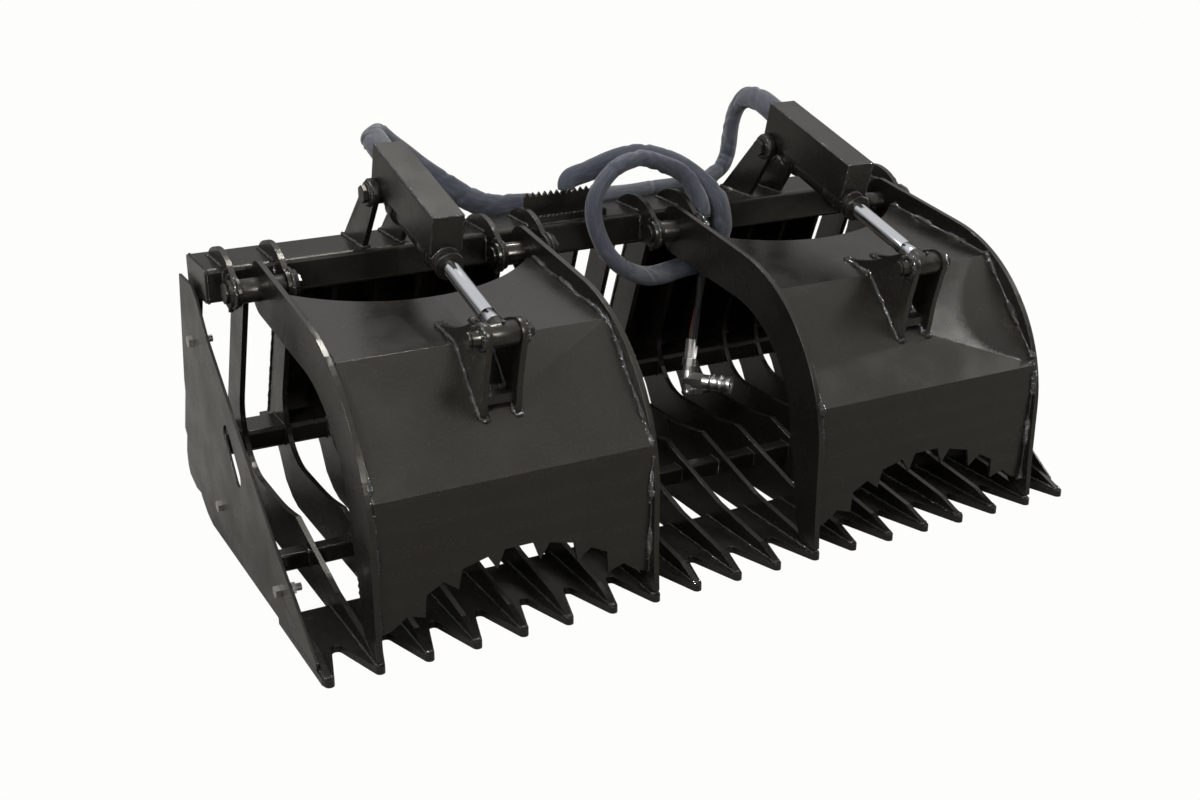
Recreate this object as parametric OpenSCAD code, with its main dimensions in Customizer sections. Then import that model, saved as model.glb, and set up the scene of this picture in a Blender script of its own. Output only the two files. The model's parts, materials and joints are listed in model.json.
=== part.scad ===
// Skid steer grapple: a skeleton bucket of upright tines on a toothed cutting edge,
// with two claws that are hinged on the top beam and worked by one cylinder each.
// X runs across the bucket, the teeth point to -Y, +Z is up and the part stands on Z = 0.
// Shapes are drawn with Y measured rearwards from the tooth tips, then centred.

/* [Layout] */
// Distance between neighbouring teeth and tines
tooth_pitch = 101.6; // [94:0.1:110]
// Tine spaces outside each claw
edge_bays = 1; // [1:1:2]
// Tine spaces under each claw
claw_bays = 6; // [6:1:7]
// Tine spaces between the claws
centre_bays = 4; // [4:1:6]

/* [Cutting edge] */
// Thickness of the cutting edge plate
edge_t = 16; // [12:1:20]
// Depth of the cutting edge plate behind the tooth tips
edge_depth = 285; // [250:5:320]
// Depth of the gullets between the teeth
gullet_depth = 122; // [100:1:140]
// Radius of each tooth nose
tooth_nose_r = 10; // [7:1:13]

/* [Tines] */
// Thickness of the tines and the end plates
tine_t = 12.7; // [9:0.1:16]
// Height of the tine floor at the back of the bucket
floor_h = 116; // [105:1:130]
// Height of the knee in the tine floor
knee_h = 133; // [128:1:145]
// Distance of the knee behind the tooth tips
knee_y = 484; // [460:1:510]
// Inside depth of the bucket at the foot of the uprights
back_y = 870; // [850:5:910]
// Radius of the inside corner between floor and uprights
corner_r = 120; // [90:5:140]
// Forward lean of the uprights from the vertical
lean = 22; // [18:1:25]
// Depth of an upright, square to its lean
upright_d = 88; // [80:1:92]
// Height of the heel at the rear of a tine
heel_h = 177; // [165:1:190]

/* [Side plates] */
// Thickness of the bolted side plates
side_t = 6.4; // [5:0.1:10]
// Diameter of the side plate bolts
side_bolt_d = 15.9; // [12:0.1:20]
// Width of the oval hand slot in a side plate
slot_w = 46; // [36:1:52]
// Length of the oval hand slot in a side plate
slot_l = 140; // [110:5:160]

/* [Beam and tubes] */
// Depth of the top beam, front to rear
beam_d = 152; // [130:1:170]
// Height of the top beam
beam_h = 76; // [60:1:90]
// Height of the top face of the beam
beam_top = 640; // [630:1:660]
// Distance of the front face of the beam behind the tooth tips
beam_y = 690; // [688:1:710]
// Wall of the top beam
beam_wall = 6.4; // [4:0.1:10]
// Outside corner radius of the top beam
beam_corner_r = 10; // [7:1:16]
// Side of the square tube at the foot of the uprights
mid_tube_d = 101.6; // [88.9:0.1:104]
// Height of the rear cross tube
mid_tube_h = 50.8; // [38.1:0.1:52]
// Side of the square tube under the knee of the floor
low_tube_a = 38.1; // [30:0.1:44]
// Wall of the two square tubes
tube_wall = 5; // [3:0.5:8]

/* [Loader mount] */
// Thickness of the loader attach plates
attach_t = 9.5; // [8:0.5:12]
// Height of the loader attach plates along their lean
attach_h = 452; // [430:1:456]
// Length of the hooked lip at the top of the attach plates
attach_lip = 45; // [35:1:55]
// Depth of the bottom ledge of the attach plates
attach_ledge = 70; // [60:1:80]
// Distance between the two lock pin slots
lock_slot_span = 812; // [780:1:840]
// Width of a lock pin slot
lock_slot_w = 35; // [30:1:40]
// Length of a lock pin slot
lock_slot_l = 60; // [50:1:70]

/* [Claws] */
// Distance of the claw hinge axis behind the tooth tips
hinge_y = 625; // [615:1:628]
// Height of the claw hinge axis
hinge_h = 603; // [595:1:612]
// Thickness of the claw ribs
rib_t = 12.7; // [9:0.1:16]
// Radius of the rear end of a rib round the hinge
rib_hub_r = 60; // [52:1:62]
// Outer radius of the knuckle of a rib
knuckle_r = 375; // [350:5:390]
// Depth of a rib through its knuckle
rib_depth = 108; // [95:1:120]
// Height of the centre of the knuckle
knuckle_h = 247; // [235:1:260]
// Distance of the front edge of a rib behind the tooth tips
rib_front = 7; // [4:1:12]
// Thickness of the claw skin
skin_t = 6.4; // [5:0.1:10]
// Diameter of the hinge pins
hinge_pin_d = 31.8; // [25:0.1:36]
// Outside diameter of the hinge bushings
bushing_d = 52; // [46:0.5:60]
// Distance of a hinge lug from its rib, centre to centre
lug_offset = 56; // [50:1:62]
// Thickness of the hinge lugs and cylinder lugs
lug_t = 12.7; // [9:0.1:16]

/* [Cylinders] */
// Distance of the cylinder base pin behind the tooth tips
base_y = 643; // [635:1:655]
// Height of the cylinder base pin
base_h = 775; // [765:1:785]
// Distance of the rod eye behind the tooth tips
eye_y = 80; // [74:1:88]
// Height of the rod eye
eye_h = 615; // [608:1:622]
// Bore of the cylinders
bore_d = 50.8; // [44:0.1:56]
// Wall of the cylinder barrels
barrel_wall = 4.8; // [4:0.1:7]
// Diameter of the chromed rods
rod_d = 35; // [30:1:38]
// Length of barrel and gland in front of the base pin
barrel_l = 330; // [320:1:340]
// Diameter of the cylinder base pins
base_pin_d = 25.4; // [20:0.1:28]
// Diameter of the rod pins
rod_pin_d = 18; // [15:0.5:20]
// Distance between the two ears of a claw
ear_gap = 61; // [56:1:66]
// Thickness of the ears
ear_t = 12.7; // [9:0.1:16]
// Distance between the two cylinder lugs
base_gap = 75; // [72:1:80]
// Width of the hose guards
guard_w = 69; // [64:1:70]
// Height of the hose guards above the cylinder axis
guard_h = 102; // [94:1:108]
// Length of the hose guards
guard_l = 335; // [320:1:338]
// Plate thickness of the hose guards
guard_t = 5; // [4:0.5:7]

/* [Hoses] */
// Diameter of the fabric hose sleeves
sleeve_d = 42; // [36:1:44]
// Diameter of the two bare hoses
hose_d = 15; // [12:0.5:16]
// Outside diameter of the female coupler
coupler_d = 36; // [32:1:38]

/* [Hidden] */
$fn = 64;
steel = [0.13, 0.13, 0.12];
run_gap = 0.05;
face_gap = 0.4;
tooth_bays = 2 * edge_bays + 2 * claw_bays + centre_bays;
corner_c = [back_y - corner_r, floor_h + corner_r];
beam_bottom = beam_top - beam_h;
attach_top = beam_bottom - 6;
attach_low = attach_top - attach_h * cos(lean);
rear_end = rear_line(attach_low) + attach_ledge;
centre_y = rear_end / 2;
barrel_r = bore_d / 2 + barrel_wall;
hub = [hinge_y, hinge_h];
base_pt = [base_y, base_h];
eye_pt = [eye_y, eye_h];
cyl_l = norm(base_pt - eye_pt);
cyl_tilt = atan2(base_h - eye_h, base_y - eye_y);
left_claw = edge_bays + claw_bays / 2;
right_claw = tooth_bays - left_claw;
left_ribs = [edge_bays, edge_bays + claw_bays];
right_ribs = [tooth_bays - edge_bays - claw_bays, tooth_bays - edge_bays];

// Place of tooth or tine k across the bucket
function kx(k) = (k - tooth_bays / 2) * tooth_pitch;
function rev(list) = [for (i = [len(list) - 1:-1:0]) list[i]];
function unit(v) = v / norm(v);
function turned(v, a) = [v[0] * cos(a) - v[1] * sin(a), v[0] * sin(a) + v[1] * cos(a)];
// Points of an arc round centre c from angle a0 to a1
function arc(c, r, a0, a1, n = 12) =
  [for (i = [0:n]) c + r * [cos(a0 + (a1 - a0) * i / n), sin(a0 + (a1 - a0) * i / n)]];
// Smooth curve through chosen points
function smooth(p, n = 5) = let (m = len(p) - 1) concat([for (i = [0:m - 1], j = [0:n - 1])
  let (a = p[max(i - 1, 0)], b = p[i], c = p[i + 1], d = p[min(i + 2, m)], t = j / n)
  0.5 * (2 * b + (c - a) * t + (2 * a - 5 * b + 4 * c - d) * t * t
    + (3 * b - a - 3 * c + d) * t * t * t)], [p[m]]);
// Angle at which a line from p touches a circle, on the side given by 1 or -1
function touch_angle(c, r, p, side) = let (d = p - c) atan2(d[1], d[0]) + side * acos(r / norm(d));
// Bent strip: a path and the same path offset to its left by t, with mitred corners
function left_of(d) = [-d[1], d[0]];
function offset_point(p, i, t) = let (
  a = unit(p[min(i + 1, len(p) - 1)] - p[min(i, len(p) - 2)]),
  b = unit(p[max(i, 1)] - p[max(i - 1, 0)]),
  m = unit(left_of(a) + left_of(b)))
  p[i] + m * t / (m * left_of(a));
function strip(p, t) = concat(p, rev([for (i = [0:len(p) - 1]) offset_point(p, i, t)]));
// Front and rear lines of the leaning uprights at height z
function front_line(z) = corner_c[0] + (corner_r - (z - corner_c[1]) * sin(lean)) / cos(lean);
function rear_line(z) = front_line(z) + upright_d / cos(lean);

module placed() { translate([0, -centre_y, 0]) children(); }
// Extrudes a profile drawn in Y and Z along X, centred on x
module plate(x, t) {
  translate([x, 0, 0]) rotate([90, 0, 90]) linear_extrude(height = t, center = true) children();
}
module bar(x0, x1, p, r) { translate([x0, p[0], p[1]]) rotate([0, 90, 0]) cylinder(h = x1 - x0, r = r); }
module hex(x0, x1, p, r) {
  translate([x0, p[0], p[1]]) rotate([0, 90, 0]) cylinder(h = x1 - x0, r = r, $fn = 6);
}
// Tube profile, a deep and b high, with its lower front corner at p
module chamfered(p, a, b, c) {
  polygon([p + [c, 0], p + [a - c, 0], p + [a, c], p + [a, b - c], p + [a - c, b], p + [c, b],
    p + [0, b - c], p + [0, c]]);
}

// Cutting edge
module edge_outline() {
  flank = atan((tooth_pitch / 2 - 2 * tooth_nose_r) / (gullet_depth - 2 * tooth_nose_r));
  end_x = kx(tooth_bays) + tine_t / 2 + side_t;
  end_y = tooth_nose_r * (1 - sin(flank)) + (tine_t / 2 + side_t - tooth_nose_r * cos(flank)) / tan(flank);
  noses = [for (k = [0:tooth_bays]) let (
    nose = arc([kx(k), tooth_nose_r], tooth_nose_r, 180 + flank, 360 - flank, 8),
    gullet = arc([kx(k) + tooth_pitch / 2, gullet_depth - tooth_nose_r], tooth_nose_r,
      180 - flank, flank, 8))
    each k == tooth_bays ? nose : concat(nose, gullet)];
  polygon(concat(noses, [[end_x, end_y], [end_x, edge_depth], [-end_x, edge_depth], [-end_x, end_y]]));
}
module cutting_edge() {
  color(steel) placed() linear_extrude(height = edge_t) edge_outline();
}

// Tines and tubes
mid_tube_at = [back_y - 8, heel_h - 38];
low_tube_at = [knee_y - 84, knee_h - 43 - low_tube_a];
module tine_outline() {
  heel_y = rear_line(heel_h);
  polygon(concat([
    [12, edge_t], [12, edge_t + 4], [70, edge_t + 25], [241, edge_t + 48],
    [knee_y - 100, knee_h - 29], [knee_y, knee_h]],
    smooth([[knee_y, knee_h], [knee_y + 64, knee_h - 11], [knee_y + 131, floor_h],
      [corner_c[0], floor_h]], 3),
    arc(corner_c, corner_r, -90, lean, 14),
    [[front_line(beam_bottom), beam_bottom], [rear_line(beam_bottom), beam_bottom],
    [heel_y, heel_h], [heel_y - 71, heel_h - 83], [heel_y - 105, heel_h - 138],
    [heel_y - 150, heel_h - 166], [heel_y - 190, 0], [edge_depth + 8, 0],
    [edge_depth + 0.2, edge_t]]));
}
module tine(k) {
  plate(kx(k), tine_t) difference() {
    tine_outline();
    chamfered(mid_tube_at, mid_tube_d, mid_tube_h, 8);
    chamfered(low_tube_at, low_tube_a, low_tube_a, 3);
  }
}
module tine_group(k0, k1) { for (k = [k0:k1]) tine(k); }
module left_tines() { color(steel) placed() tine_group(1, left_ribs[1] - 1); }
module centre_tines() { color(steel) placed() tine_group(left_ribs[1], right_ribs[0]); }
module right_tines() { color(steel) placed() tine_group(right_ribs[0] + 1, tooth_bays - 1); }

module tube_between(at, a, b, c) {
  l = kx(tooth_bays) - kx(0) - tine_t;
  plate(0, l) difference() {
    chamfered(at, a, b, c);
    chamfered(at + [tube_wall, tube_wall], a - 2 * tube_wall, b - 2 * tube_wall, c / 2);
  }
}
module mid_tube() { color(steel) placed() tube_between(mid_tube_at, mid_tube_d, mid_tube_h, 8); }
module lower_tube() { color(steel) placed() tube_between(low_tube_at, low_tube_a, low_tube_a, 3); }

// Side plates and their bolts
side_bolts = [[back_y - 62, beam_bottom - 114], [back_y - 190, 103], [edge_depth - 23, 86]];
module bolt_holes() { for (p = side_bolts) translate(p) circle(r = side_bolt_d / 2 + face_gap); }
module end_plate(k) {
  p = side_bolts[2];
  plate(kx(k), tine_t) difference() {
    union() {
      tine_outline();
      polygon([[p[0] - 120, edge_t + 30], [p[0] - 25, p[1] + 22], [p[0] + 25, p[1] + 22],
        [knee_y - 100, knee_h - 29], [p[0] + 30, edge_t + 20]]);
    }
    bolt_holes();
  }
}
module left_end_plate() { color(steel) placed() end_plate(0); }
module right_end_plate() { color(steel) placed() end_plate(tooth_bays); }
module side_outline() {
  polygon([[44, edge_t + face_gap], [edge_depth + 6, edge_t + face_gap],
    [back_y - 56, 63], [back_y + 38, 56], [back_y + 90, 72],
    [back_y + 102, 92], [back_y + 103, 127], [back_y + 58, 243], [back_y + 56, 323],
    [back_y + 2, beam_bottom + 24], [back_y - 100, beam_bottom + 24], [back_y - 133, beam_bottom + 2],
    [back_y - 191, 497], [438, 312], [273, 182], [46, 32]]);
}
slot_at = [547, 272];
module hand_slot() {
  translate(slot_at) rotate(50) {
    square([slot_l - slot_w, slot_w], center = true);
    for (s = [-1, 1]) translate([s * (slot_l - slot_w) / 2, 0]) circle(r = slot_w / 2);
  }
}
side_x = kx(tooth_bays) + tine_t / 2 + side_t / 2;
module side_plate(s) {
  plate(s * side_x, side_t) difference() { side_outline(); bolt_holes(); hand_slot(); }
}
module left_side_plate() { color(steel) placed() side_plate(-1); }
module right_side_plate() { color(steel) placed() side_plate(1); }
module side_plate_bolts() {
  inner = kx(tooth_bays) - tine_t / 2;
  outer = side_x + side_t / 2;
  color("silver") placed() for (s = [0, 1], p = side_bolts) mirror([s, 0, 0]) {
    bar(inner - 26, outer + 2, p, side_bolt_d / 2);
    hex(outer, outer + 10, p, side_bolt_d * 0.85);
    hex(inner - 13, inner, p, side_bolt_d * 0.85);
  }
}

// Top beam
beam_x = kx(tooth_bays);
cap_t = 6;
function round_rect(p, w, h, r) = concat(
  arc(p + [w - r, r], r, -90, 0, 4), arc(p + [w - r, h - r], r, 0, 90, 4),
  arc(p + [r, h - r], r, 90, 180, 4), arc(p + [r, r], r, 180, 270, 4));
module beam_section() { polygon(round_rect([beam_y, beam_bottom], beam_d, beam_h, beam_corner_r)); }
module top_beam() {
  color(steel) placed() plate(0, 2 * (beam_x - cap_t)) difference() {
    beam_section();
    polygon(round_rect([beam_y + beam_wall, beam_bottom + beam_wall], beam_d - 2 * beam_wall,
      beam_h - 2 * beam_wall, beam_corner_r / 2));
  }
}
module beam_end_caps() {
  color(steel) placed() for (s = [-1, 1]) plate(s * (beam_x - cap_t / 2), cap_t) beam_section();
}

// Serrated step on the beam, between the two inner claw hinges
step_x0 = kx(left_ribs[1]) + lug_offset + lug_t / 2 + 4;
step_l = 2 * tooth_pitch - 14;
step_y = beam_y + 12;
module saw(l, h, n, d) {
  p = l / n;
  polygon(concat([[-l / 2, 0]], [for (i = [0:n - 1]) each [[-l / 2 + i * p, h - d],
    [-l / 2 + (i + 0.5) * p, h]]], [[l / 2, h - d], [l / 2, 0]]));
}
module serrated_step() {
  color(steel) placed() translate([step_x0 + step_l / 2, 0, beam_top]) {
    translate([0, step_y, 0]) rotate([90, 0, 0]) linear_extrude(height = 5) saw(step_l, 22, 17, 5);
    translate([-step_l / 2, step_y, 0]) cube([step_l, 52, 5]);
    translate([0, step_y + 57, 0]) rotate([90, 0, 0]) linear_extrude(height = 5) saw(step_l, 64, 12, 12);
  }
}

// Loader attach plates
function attach_path() = let (
  top = [rear_line(attach_top), attach_top],
  low = [rear_line(attach_low), attach_low])
  [top + attach_lip * [cos(lean + 1.2), -sin(lean + 1.2)], top, low, low + [attach_ledge, 0]];
module attach_plate(k0, k1) {
  x0 = kx(k0) - tine_t / 2;
  x1 = kx(k1) + tine_t / 2;
  slot_y = rear_line(attach_low) + attach_ledge / 2 + 3;
  out = [cos(lean), sin(lean)];
  under = [-sin(lean + 1.2), -cos(lean + 1.2)];
  corner = [rear_line(attach_top), attach_top] + attach_t / (1 + out * under) * (out + under);
  difference() {
    plate((x0 + x1) / 2, x1 - x0) {
      polygon(strip(attach_path(), attach_t));
      polygon([corner - 3 * (out + under), corner + 6 * [sin(lean), -cos(lean)] - 0.1 * out,
        corner + 6 * [cos(lean + 1.2), -sin(lean + 1.2)] - 0.1 * under]);
    }
    for (s = [-1, 1]) translate([s * lock_slot_span / 2, slot_y, attach_low - 1]) {
      translate([0, 0, attach_t / 2 + 1])
        cube([lock_slot_l - lock_slot_w, lock_slot_w, attach_t + 4], center = true);
      for (e = [-1, 1]) translate([e * (lock_slot_l - lock_slot_w) / 2, 0, 0])
        cylinder(h = attach_t + 4, r = lock_slot_w / 2);
    }
  }
}
module left_attach_plate() { color(steel) placed() attach_plate(edge_bays + 1, left_ribs[1]); }
module right_attach_plate() { color(steel) placed() attach_plate(right_ribs[0], right_ribs[1] - 1); }

// Hinge lugs: two plates for each rib, notched over the beam
boss_r = 33;
ring_t = 12;
function lug_points() = concat(
  arc(hub, boss_r, 95, touch_angle(hub, boss_r, [beam_y, beam_bottom + 3], -1) + 360, 14),
  [[beam_y, beam_bottom + 3], [beam_y, beam_top], [beam_y + 115, beam_top]],
  smooth([[beam_y + 115, beam_top + 2], [beam_y + 100, beam_top + 17], [beam_y + 65, beam_top + 31],
    [beam_y + 20, beam_top + 35], [beam_y - 25, beam_top + 22], [hinge_y + 4, hinge_h + boss_r]], 3));
lock_bolt_d = 8;
module lock_hole(x, p, r) {
  translate([x, p[0], p[1] - r]) cylinder(h = 2 * r, r = lock_bolt_d / 2 + run_gap);
}
// Bolt through a ring of radius r and the pin in it, with a head below and a nut above
module lock_bolt(x, p, r) {
  translate([x, p[0], p[1] - r - 9]) {
    cylinder(h = 2 * r + 18, r = lock_bolt_d / 2);
    cylinder(h = 9, r = lock_bolt_d * 0.72, $fn = 6);
    translate([0, 0, 2 * r + 9]) cylinder(h = 6, r = lock_bolt_d * 0.72, $fn = 6);
  }
}
module hinge_lug(x, side) {
  difference() {
    union() {
      plate(x, lug_t) polygon(lug_points());
      bar(x + side * (lug_t + ring_t) / 2 - ring_t / 2, x + side * (lug_t + ring_t) / 2 + ring_t / 2,
        hub, boss_r - 1);
    }
    bar(x - 40, x + 40, hub, hinge_pin_d / 2 + run_gap);
    if (side < 0) lock_hole(x - (lug_t + ring_t) / 2, hub, boss_r + 12);
  }
}
module hinge_lugs(ribs) {
  for (k = ribs, s = [-1, 1]) hinge_lug(kx(k) + s * lug_offset, s);
}
module left_hinge_lugs() { color(steel) placed() hinge_lugs(left_ribs); }
module right_hinge_lugs() { color(steel) placed() hinge_lugs(right_ribs); }
pin_l = lug_offset + lug_t / 2 + ring_t;
module hinge_pin(k) {
  bar(kx(k) - pin_l - 4, kx(k) + pin_l + 4, hub, hinge_pin_d / 2);
  bar(kx(k) - pin_l - 7, kx(k) - pin_l, hub, hinge_pin_d / 2 + 6);
  hex(kx(k) + pin_l, kx(k) + pin_l + 9, hub, hinge_pin_d / 2 + 5);
  lock_bolt(kx(k) - lug_offset - (lug_t + ring_t) / 2, hub, boss_r - 1);
}
module left_hinge_pins() { color(steel) placed() for (k = left_ribs) hinge_pin(k); }
module right_hinge_pins() { color(steel) placed() for (k = right_ribs) hinge_pin(k); }

// Cylinder lugs and base pins on the beam
base_lug_r = 32;
base_lug_x = base_gap / 2 + lug_t / 2;
module base_lug_outline() {
  foot0 = [beam_y + 14, beam_top];
  foot1 = [beam_y + beam_d - 12, beam_top];
  polygon(concat([foot0, foot1], arc(base_pt, base_lug_r, touch_angle(base_pt, base_lug_r, foot1, 1),
    touch_angle(base_pt, base_lug_r, foot0, -1) + 360, 16)));
}
module cylinder_lugs(k) {
  for (s = [-1, 1]) let (x = kx(k) + s * base_lug_x, r0 = s * (lug_t + 8) / 2) difference() {
    union() {
      plate(x, lug_t) base_lug_outline();
      bar(x + r0 - 4, x + r0 + 4, base_pt, base_lug_r - 8);
    }
    bar(x - 30, x + 30, base_pt, base_pin_d / 2 + run_gap);
  }
}
module left_cylinder_lugs() { color(steel) placed() cylinder_lugs(left_claw); }
module right_cylinder_lugs() { color(steel) placed() cylinder_lugs(right_claw); }
module base_pin(k) {
  e = base_lug_x + lug_t / 2 + 8;
  bar(kx(k) - e - 4, kx(k) + e + 4, base_pt, base_pin_d / 2);
  hex(kx(k) - e - 10, kx(k) - e, base_pt, base_pin_d / 2 + 8);
  hex(kx(k) + e, kx(k) + e + 12, base_pt, base_pin_d / 2 + 6);
}
module left_base_pin() { color(steel) placed() base_pin(left_claw); }
module right_base_pin() { color(steel) placed() base_pin(right_claw); }

// Claw ribs: a hub, a tangent top edge, a round knuckle and a straight front down to the tooth
knuckle_c = [rib_front + knuckle_r, knuckle_h];
inner_r = knuckle_r - rib_depth;
rib_axis = hub - knuckle_c;
rib_axis_a = atan2(rib_axis[1], rib_axis[0]);
top_a = rib_axis_a + acos((knuckle_r - rib_hub_r) / norm(rib_axis));
under_a = rib_axis_a + acos((inner_r + rib_hub_r) / norm(rib_axis));
module rib_outline() {
  inner_y = knuckle_c[0] - inner_r;
  saw_lo = [inner_y - 35, edge_t + 56];
  saw_hi = [inner_y - 22, knuckle_h - 60];
  teeth = 8;
  saw_step = (saw_hi - saw_lo) / teeth;
  polygon(concat(
    arc(hub, rib_hub_r, under_a - 180, top_a, 20),
    arc(knuckle_c, knuckle_r, top_a, 180, 22),
    [[rib_front, 96], [3, edge_t + 9], [14, edge_t + 7], [68, edge_t + 28]],
    [for (i = [0:teeth - 1]) each [saw_lo + i * saw_step, saw_lo + (i + 0.35) * saw_step + [7, 0]]],
    [saw_hi],
    arc(knuckle_c, inner_r, 180, under_a, 16)));
}
module claw_rib(k) {
  difference() {
    plate(kx(k), rib_t) rib_outline();
    bar(kx(k) - rib_t, kx(k) + rib_t, hub, bushing_d / 2);
  }
}
module left_claw_outer_rib() { color(steel) placed() claw_rib(left_ribs[0]); }
module left_claw_inner_rib() { color(steel) placed() claw_rib(left_ribs[1]); }
module right_claw_inner_rib() { color(steel) placed() claw_rib(right_ribs[0]); }
module right_claw_outer_rib() { color(steel) placed() claw_rib(right_ribs[1]); }
module claw_bushings(ribs) {
  half = lug_offset - lug_t / 2 - face_gap;
  for (k = ribs) difference() {
    bar(kx(k) - half, kx(k) + half, hub, bushing_d / 2);
    bar(kx(k) - half - 1, kx(k) + half + 1, hub, hinge_pin_d / 2 + run_gap);
  }
}
module left_claw_bushings() { color(steel) placed() claw_bushings(left_ribs); }
module right_claw_bushings() { color(steel) placed() claw_bushings(right_ribs); }

// Claw skin: one plate with two bends between the ribs, arched at the rear and toothed at the lip
skin_path = [[hinge_y - rib_hub_r - 3, hinge_h + 4], [208, knuckle_h + 318], [rib_front + 8, knuckle_h + 103],
  [rib_front + 21, 50]];
module lip_cut() {
  u = tooth_pitch;
  w = claw_bays / 6;
  half = [[0.31 * w, 193], [0.46 * w, 152], [0.66 * w, 185], [1.2 * w, 171], [1.28 * w, 128],
    [1.58 * w, 152], [1.95 * w, 132], [1.98 * w, 84], [2.34 * w, 96], [2.65 * w, 72], [3 * w, 62]];
  polygon(concat([for (p = rev(half)) [-p[0] * u, p[1]]], [for (p = half) [p[0] * u, p[1]]],
    [[3.2 * w * u, 0], [-3.2 * w * u, 0]]));
}
module claw_skin(ribs) {
  x0 = kx(ribs[0]) + rib_t / 2;
  x1 = kx(ribs[1]) - rib_t / 2;
  chord = (x1 - x0) / 2 - 16;
  rise = 125;
  r = (chord * chord + rise * rise) / (2 * rise);
  difference() {
    plate((x0 + x1) / 2, x1 - x0) polygon(strip(skin_path, skin_t));
    translate([(x0 + x1) / 2, 0, 0]) {
      translate([0, skin_path[0][0] - rise + r, hinge_h - 40]) cylinder(h = 80, r = r, $fn = 96);
      translate([0, 120, 0]) rotate([90, 0, 0]) linear_extrude(height = 160) lip_cut();
    }
  }
}
module left_claw_skin() { color(steel) placed() claw_skin(left_ribs); }
module right_claw_skin() { color(steel) placed() claw_skin(right_ribs); }

// Ears on the claw skin, and the rod pin through them
ear_r = 28;
collar_l = 16;
function skin_z(y) = skin_path[1][1] + (y - skin_path[1][0]) * (skin_path[0][1] - skin_path[1][1])
  / (skin_path[0][0] - skin_path[1][0]);
module ear_outline() {
  difference() {
    union() {
      translate(eye_pt) circle(r = ear_r);
      polygon(concat([[180, 470], [300, 540], [300, skin_z(300)]],
        smooth([[300, skin_z(300) + 3], [250, eye_h - 28], [190, eye_h - 12], [eye_y + 45, eye_h + 16],
          [eye_y + 8, eye_h + ear_r - 1]], 4),
        smooth([[eye_y - ear_r + 2, eye_h - 8], [eye_y - 14, eye_h - 50], [eye_y, eye_h - 100],
          [eye_y + 8, eye_h - 150], [eye_y + 20, eye_h - 195]], 4)));
    }
    polygon(concat(skin_path, [[120, 50], [560, 300]]));
  }
}
module claw_ears(k) {
  for (s = [-1, 1]) let (x = kx(k) + s * (ear_gap + ear_t) / 2, r0 = s * (ear_t + 8) / 2) difference() {
    union() {
      plate(x, ear_t) ear_outline();
      bar(x + r0 - 4, x + r0 + 4, eye_pt, ear_r - 7);
      if (s < 0) bar(x - ear_t / 2 - 8 - collar_l, x - ear_t / 2 - 8, eye_pt, rod_pin_d / 2 + 8);
    }
    bar(x - 40, x + 40, eye_pt, rod_pin_d / 2 + run_gap);
    if (s < 0) lock_hole(x - ear_t / 2 - 8 - collar_l / 2, eye_pt, 40);
  }
  plate(kx(k), ear_gap) difference() {
    polygon([[eye_y + 17, eye_h - 129], [eye_y + 20, eye_h - 148], [eye_y + 80, eye_h - 148],
      [eye_y + 80, eye_h - 129]]);
    polygon(concat(skin_path, [[120, 50], [560, 300]]));
  }
}
module left_claw_ears() { color(steel) placed() claw_ears(left_claw); }
module right_claw_ears() { color(steel) placed() claw_ears(right_claw); }
module rod_pin(k) {
  e = ear_gap / 2 + ear_t + 8;
  bar(kx(k) - e - collar_l - 2, kx(k) + e + 6, eye_pt, rod_pin_d / 2);
  bar(kx(k) - e - collar_l - 7, kx(k) - e - collar_l, eye_pt, rod_pin_d / 2 + 6);
  lock_bolt(kx(k) - e - collar_l / 2, eye_pt, rod_pin_d / 2 + 8);
  hex(kx(k) + e, kx(k) + e + 12, eye_pt, rod_pin_d / 2 + 6);
}
module left_rod_pin() { color(steel) placed() rod_pin(left_claw); }
module right_rod_pin() { color(steel) placed() rod_pin(right_claw); }

// Cylinders: local +Y runs from the rod eye to the base pin, the base pin is the origin
module on_axis(k) {
  placed() translate([kx(k), base_y, base_h]) rotate([cyl_tilt, 0, 0]) children();
}
module along(y0, y1, r) { translate([0, y0, 0]) rotate([-90, 0, 0]) cylinder(h = y1 - y0, r = r); }
base_tube_r = base_pin_d / 2 + 12;
gland_l = 45;
barrel_back = 42;
module barrel(k) {
  on_axis(k) difference() {
    union() {
      along(-barrel_l + 12, -barrel_back + 12, barrel_r);
      along(-barrel_back, -8, barrel_r - 8);
      translate([-base_gap / 2 + face_gap, 0, 0]) rotate([0, 90, 0])
        cylinder(h = base_gap - 2 * face_gap, r = base_tube_r);
      for (i = [0, 1]) translate([(1 - 2 * i) * port_x, port_y[i], bore_d / 2 - 2])
        cylinder(h = 19, r = 11);
    }
    along(-barrel_l, -barrel_back, bore_d / 2);
    translate([-base_gap, 0, 0]) rotate([0, 90, 0]) cylinder(h = 2 * base_gap, r = base_pin_d / 2 + run_gap);
    for (i = [0, 1]) translate([(1 - 2 * i) * port_x, port_y[i], 0]) cylinder(h = bore_d / 2 + 10, r = 4);
  }
}
module gland(k) {
  on_axis(k) difference() {
    union() {
      along(-barrel_l, -barrel_l + 12, barrel_r + 1);
      along(-barrel_l + 12, -barrel_l + gland_l, bore_d / 2 - run_gap);
    }
    along(-barrel_l - 1, -barrel_l + gland_l + 1, rod_d / 2 + run_gap);
  }
}
piston_back = -barrel_l + gland_l + 52;
module piston(k) {
  on_axis(k) difference() {
    along(piston_back - 32, piston_back, bore_d / 2 - run_gap);
    along(piston_back - 33, piston_back + 1, rod_d / 2 + run_gap);
  }
}
eye_r = rod_pin_d / 2 + 15.5;
eye_clear = 11.5;
module rod(k) { on_axis(k) along(-cyl_l + eye_r + 12, piston_back, rod_d / 2); }
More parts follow.
